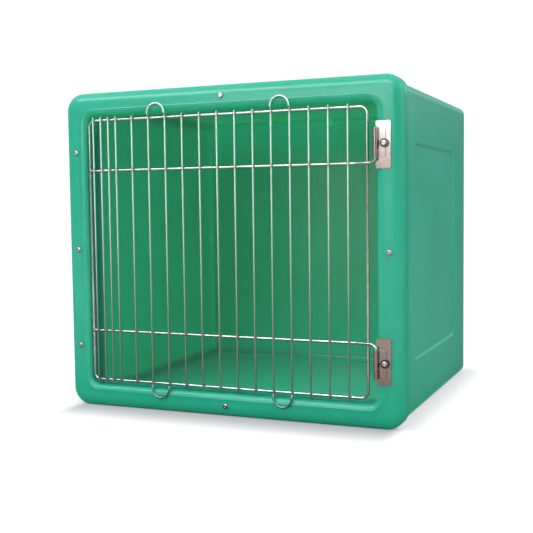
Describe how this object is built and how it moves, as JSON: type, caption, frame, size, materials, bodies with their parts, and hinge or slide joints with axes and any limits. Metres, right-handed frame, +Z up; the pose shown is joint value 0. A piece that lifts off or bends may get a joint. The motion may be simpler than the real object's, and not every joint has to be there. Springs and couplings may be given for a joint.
{
  "type": "small-animal cage with hinged wire door",
  "caption": "Nearly cubic moulded-plastic animal cage with a rounded front bezel and a stainless wire door that swings open on side hinges.",
  "frame": {"origin": "centre of the body's flat underside", "axes": "+X to the right seen from the front, +Y from the door to the back, +Z up"},
  "size_m": [0.608, 0.5612, 0.549],
  "materials": {
    "moulded_plastic": "satin moulded green",
    "bezel_plastic": "satin moulded green",
    "door_rod_steel": "polished stainless rod",
    "door_wire_steel": "polished stainless wire",
    "bracket_steel": "brushed stainless sheet",
    "washer_steel": "dark steel",
    "screw_steel": "bright stainless",
    "insert_brass": "turned"
  },
  "bodies": {
    "cage": {"body_shell": "moulded_plastic", "front_bezel": "bezel_plastic", "screw_top": "screw_steel", "insert_top": "insert_brass", "screw_bottom": "screw_steel", "insert_bottom": "insert_brass", "screw_left_upper": "screw_steel", "insert_left_upper": "insert_brass", "screw_left_middle": "screw_steel", "insert_left_middle": "insert_brass", "screw_left_lower": "screw_steel", "insert_left_lower": "insert_brass", "screw_right_middle": "screw_steel", "insert_right_middle": "insert_brass", "hinge_bracket_upper": "bracket_steel", "hinge_washer_upper": "washer_steel", "hinge_screw_upper": "screw_steel", "hinge_insert_upper": "insert_brass", "hinge_bracket_lower": "bracket_steel", "hinge_washer_lower": "washer_steel", "hinge_screw_lower": "screw_steel", "hinge_insert_lower": "insert_brass"},
    "door": {"door_perimeter": "door_rod_steel", "door_rail_upper": "door_rod_steel", "door_rail_lower": "door_rod_steel", "door_loop_left": "door_wire_steel", "door_loop_right": "door_wire_steel", "door_wire_01": "door_wire_steel", "door_wire_02": "door_wire_steel", "door_wire_03": "door_wire_steel", "door_wire_04": "door_wire_steel", "door_wire_05": "door_wire_steel", "door_wire_06": "door_wire_steel", "door_wire_07": "door_wire_steel", "door_wire_08": "door_wire_steel", "door_wire_09": "door_wire_steel", "door_wire_10": "door_wire_steel", "door_wire_11": "door_wire_steel", "door_wire_12": "door_wire_steel", "door_wire_13": "door_wire_steel"}
  },
  "joints": [
    {"name": "door_hinge", "type": "hinge", "parent": "cage", "child": "door", "pos_m": [0.2609, -0.2976, 0.2745], "axis": [0, 0, 1], "range_deg": [0, 180]}
  ]
}
